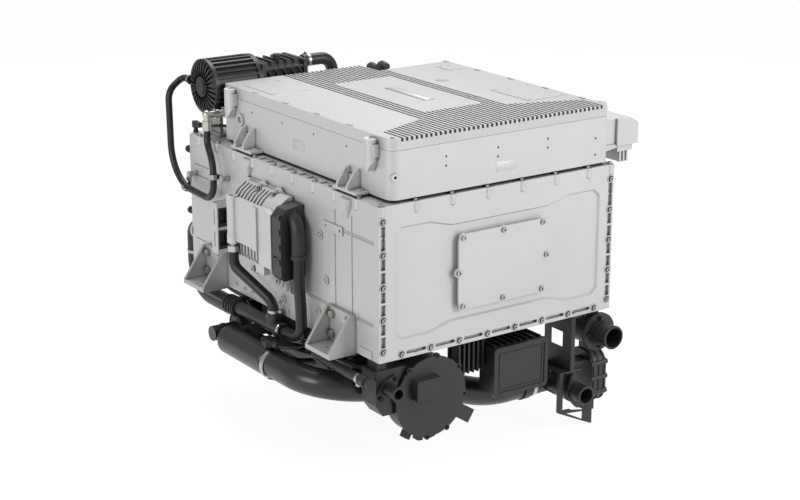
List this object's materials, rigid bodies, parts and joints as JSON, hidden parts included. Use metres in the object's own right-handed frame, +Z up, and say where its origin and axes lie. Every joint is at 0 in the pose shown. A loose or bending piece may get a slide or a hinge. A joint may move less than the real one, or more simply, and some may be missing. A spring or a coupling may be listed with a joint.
{
  "type": "fuel cell stack",
  "caption": "Complete fuel cell power module: cast stack housing, finned converter case on top, air compressor, controller, blower, coolant ports and pipework on four foot brackets.",
  "frame": {"origin": "centre of the four chassis bolt holes, in the plane of the feet's undersides", "axes": "+X to the right along the front cover, +Y from the front cover to the rear, +Z up"},
  "size_m": [0.964, 1.0891, 0.936],
  "materials": {
    "cast_alloy": "blasted light-alloy casting",
    "pale_alloy": "pale satin light alloy",
    "black_plastic": "dark grey filled nylon",
    "gloss_black": "shiny black moulding",
    "black_rubber": "reinforced hose rubber",
    "zinc_steel": "zinc-plated steel",
    "clamp_steel": "dark coated sheet steel",
    "nickel": "nickel-plated brass",
    "graphite_plate": "pressed graphite plates"
  },
  "bodies": {
    "root": {"access_plate": "cast_alloy", "air_duct": "gloss_black", "black_plugs": "black_plastic", "blower_arm": "clamp_steel", "blower_cover": "black_plastic", "blower_lid": "black_plastic", "blower_volute": "black_plastic", "cell_block": "graphite_plate", "circulation_pump": "black_plastic", "compressor_end": "pale_alloy", "compressor_motor": "pale_alloy", "compressor_saddle": "cast_alloy", "compressor_scroll": "pale_alloy", "conduit": "black_rubber", "conduit_clips": "zinc_steel", "connector_block": "cast_alloy", "controller_body": "cast_alloy", "controller_cover": "cast_alloy", "controller_side_cover": "black_plastic", "converter_case": "pale_alloy", "converter_lid": "pale_alloy", "coolant_hoses": "black_rubber", "coolant_tee": "black_plastic", "cover_screws": "zinc_steel", "drain_stub": "black_plastic", "ecu_bracket": "clamp_steel", "ecu_case": "cast_alloy", "ecu_lid": "black_plastic", "end_cover": "cast_alloy", "end_housing": "cast_alloy", "flange_screws": "zinc_steel", "floor_carrier": "clamp_steel", "front_cover": "cast_alloy", "front_left_bracket": "cast_alloy", "front_lug": "cast_alloy", "front_right_bracket": "cast_alloy", "hex_screws": "zinc_steel", "hose_bands": "zinc_steel", "hv_box": "pale_alloy", "lid_trim": "black_plastic", "lower_port": "black_plastic", "muffler": "black_plastic", "nickel_fittings": "nickel", "outlet_hose": "black_rubber", "outlet_stub": "cast_alloy", "pipe_hangers": "clamp_steel", "rear_left_bracket": "cast_alloy", "rear_lug": "cast_alloy", "rear_pipe": "black_rubber", "rear_right_bracket": "cast_alloy", "service_box": "pale_alloy", "side_tube": "black_plastic", "stack_clamping": "clamp_steel", "stack_housing": "cast_alloy", "support_frame": "clamp_steel", "top_gasket": "black_plastic", "tube_fitting": "black_plastic", "upper_port": "black_plastic", "valve_actuator": "black_plastic", "water_pump": "black_plastic"}
  },
  "joints": []
}
